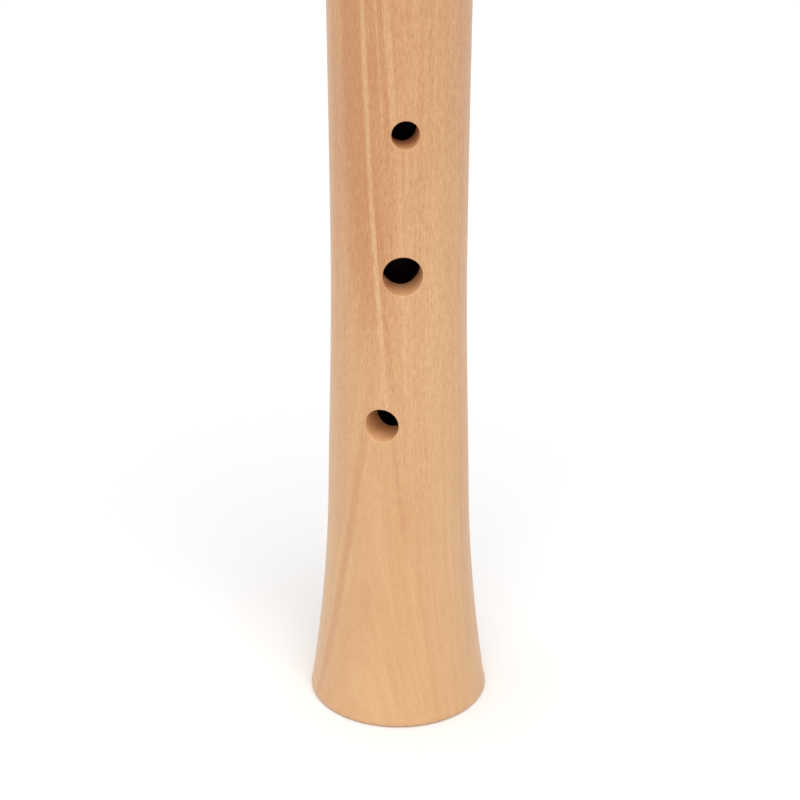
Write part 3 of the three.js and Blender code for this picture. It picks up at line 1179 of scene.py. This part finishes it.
def drilled_wall(start, z):
    """1 on the walls of the finger holes, which run straight towards the bore; light is painted in
    there.
    """
    normal = start.node("ShaderNodeTexCoord", output="Normal")
    place = normal.also("Object")
    level = place.node("ShaderNodeVectorMath", {"operation": "MULTIPLY"}, {0: place, 1: (1, 1, 0)})
    outwards = level.node("ShaderNodeVectorMath", {"operation": "NORMALIZE"}, {0: level})
    facing = outwards.node(
        "ShaderNodeVectorMath", {"operation": "DOT_PRODUCT"}, {0: outwards, 1: normal}, "Value")
    wall = smooth_step(facing.math("ABSOLUTE"), *WALL_FACING)
    return wall * smooth_step(z, *HOLES_ABOVE) * smooth_step(z, *HOLES_BELOW)


def mixed(waves, shares):
    """Some of the noises, added up by their shares."""
    return sum(waves[name] * share for name, share in shares.items())


def pear_tone(x, y, z, layers, marks):
    """How warm the wood is at a place, from 0 for pale to 1 for warm."""
    turn = x.math("ARCTAN2", y * -1) * math.degrees(1)
    tone = mixed(layers, TONE_SHARES) + smooth_step(z, *WARMER_ABOVE) * WARMER_BY
    if marks:
        tone = tone + marks(turn, z)
    return (tone + 0.5).math("MINIMUM", 1.0).math("MAXIMUM", 0.0)


def pear_wood(name, facing, offset, marks, bore_radius):
    """Pear wood; marks and bore_radius are functions of the place."""
    material, start = new_material(name)
    x, y, z = wood_place(start)
    depth, along = growth_layers(x, y, z, facing, GRAIN_LEAN, PITH_DISTANCE)
    layers = noises((depth + offset, along, z), PEAR_LAYERS)
    cells = noises((x, y, z), PEAR_CELLS)
    tone = pear_tone(x, y, z, layers, marks)
    colour = tone.node("ShaderNodeValToRGB", {"stops": PEAR_STOPS}, {0: tone})
    plain = smooth_step(z, *CELLS_FADE) * (1 - CELLS_AT_FOOT) + CELLS_AT_FOOT
    pores = smooth_step(cells["pores"], *PORE_OPENS) * tone * plain
    colour = mix_colour(pores * PORE_STRENGTH, colour, PORE_COLOUR)
    shade = mixed(cells, SHADE_SHARES) * plain
    shades = {axis: shade * share + 1 for axis, share in enumerate(FIBRE_TINT)}
    from_bore = (x * x + y * y).math("SQRT") - bore_radius(z)
    tints = (
        (1.0, shade.node("ShaderNodeCombineXYZ", {}, shades)),
        (facing_up_or_down(start), END_GRAIN_TINT),
        # painted light: the finger-hole walls are lightened
        (drilled_wall(start, z), DRILLED_WALL_PAINTED_LIGHT),
        # partly the bore's oil, mostly painted shade inside the tube
        (smooth_step(from_bore, *BORE_OIL_AND_SHADE_WITHIN), BORE_OIL_AND_PAINTED_SHADE),
    )
    for mask, tint in tints:
        colour = mix_colour(mask, colour, tint, "MULTIPLY")
    roughness = cells["pores"] * 0.15 + layers["bands"] * 0.1 + PEAR_ROUGHNESS
    relief = layers["lines"] * 0.4 + cells["pores"] + cells["fibres"]
    show_surface(start, colour, roughness, relief, strength=0.2, depth=0.03)
    return material


def body_bore_radius(z):
    """The body's bore radius at a height: two straight cones that meet at the neck."""
    lower = (BORE_FOOT_RADIUS - BORE_NECK_RADIUS) / (FOOT_HOLLOW_DEPTH - BORE_NECK_HEIGHT)
    upper = (BORE_TENON_RADIUS - BORE_NECK_RADIUS) / (TENON_TOP - BORE_NECK_HEIGHT)
    foot_cone = (z - BORE_NECK_HEIGHT) * lower + BORE_NECK_RADIUS
    return foot_cone.math("MAXIMUM", (z - BORE_NECK_HEIGHT) * upper + BORE_NECK_RADIUS)


pear_body = pear_wood("pear_wood_body", BODY_FACING, 0.0, body_marks, body_bore_radius)
pear_head = pear_wood("pear_wood_head", HEAD_FACING, HEAD_OFFSET, None, lambda z: HEAD_BORE_RADIUS)
print("pear wood nodes:", len(pear_body.node_tree.nodes))

# %% [markdown]
# Cedar is redder and softer, with a plain difference between the pale and the dark part of
# each year's growth. It is left unoiled, so it is dull. Cork is bark: light brown, with
# small dark pores and a few darker channels, and it has no shine.

# %% Cedar and cork
CEDAR_PALE = srgb(205, 150, 108)
CEDAR_DARK = srgb(163, 98, 66)
CEDAR_FACING = math.radians(25)
CEDAR_LEAN = 0.004
CEDAR_PITH_DISTANCE = 60.0
CEDAR_LAYERS = {"years": ((0.8, 14, 160), 1.0), "lines": ((0.16, 3, 40), 2.0)}
CEDAR_CELLS = {"pores": ((0.14, 0.14, 2.5), 1.0)}
CEDAR_LATE_WOOD = (-0.18, 0.2)
CEDAR_ENDS_DARKER = 0.35
CEDAR_ROUGHNESS = 0.62
CORK_LIGHT = srgb(196, 151, 105)
CORK_DARK = srgb(120, 80, 52)
CORK_NOISES = {
    "grain": ((0.5, 0.5, 0.5), 4.0),
    "patches": ((2.2, 2.2, 1.4), 2.0),
    "channels": ((0.8, 0.8, 3.0), 2.0),
}
CORK_PORES = (0.08, 0.2)
CORK_CHANNELS = (0.14, 0.2)
CORK_ROUGHNESS = 0.88


def cedar_wood(name):
    """Unoiled cedar with straight, plain growth lines."""
    material, start = new_material(name)
    x, y, z = wood_place(start)
    depth, along = growth_layers(x, y, z, CEDAR_FACING, CEDAR_LEAN, CEDAR_PITH_DISTANCE)
    layers = noises((depth, along, z), CEDAR_LAYERS)
    pores = noises((x, y, z), CEDAR_CELLS)["pores"]
    tone = smooth_step(layers["years"] + layers["lines"] * 0.4, *CEDAR_LATE_WOOD)
    colour = mix_colour(tone, CEDAR_PALE, CEDAR_DARK)
    colour = mix_colour(facing_up_or_down(start) * CEDAR_ENDS_DARKER, colour, CEDAR_DARK)
    roughness = pores * 0.1 + CEDAR_ROUGHNESS
    show_surface(start, colour, roughness, layers["lines"] + pores, strength=0.35, depth=0.04)
    return material


def cork_bark(name):
    """Sheet cork with small pores and darker channels."""
    material, start = new_material(name)
    grain, patches, channels = noises(wood_place(start), CORK_NOISES).values()
    dark = smooth_step(grain, *CORK_PORES) * 0.7 + smooth_step(channels, *CORK_CHANNELS) * 0.5
    dark = (dark + patches * 0.4).math("MAXIMUM", 0.0).math("MINIMUM", 1.0)
    colour = mix_colour(dark, CORK_LIGHT, CORK_DARK)
    show_surface(start, colour, grain * 0.1 + CORK_ROUGHNESS, grain - dark, strength=0.6, depth=0.12)
    return material


cedar = cedar_wood("cedar_wood")
cork_sheet = cork_bark("cork_bark")
print("cedar and cork are ready")

# %% [markdown]
# Each piece is smoothed where its surface is one curve and left crisp where it was cut. Then
# it gets its finish and the body of the imported model that it moves with, and the imported
# piece that it stands for is hidden.

# %% Finish the pieces
SMOOTH_ANGLE = math.radians(35)


def finish_piece(piece, body_name, node, material):
    """Smooths a piece, gives it its finish and its body, and hides the node it stands for."""
    work_on(piece)
    bpy.ops.object.shade_smooth_by_angle(angle=SMOOTH_ANGLE)
    piece.data.materials.append(material)
    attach(piece, body_name)
    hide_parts(node)


finish_piece(body, "body", "body_and_foot", pear_body)
finish_piece(cork, "lapping", "tenon_cork", cork_sheet)
finish_piece(head, "head", "head_joint", pear_head)
finish_piece(block, "block", "block", cedar)
print("finished:", [piece.name for piece in (body, cork, head, block)])
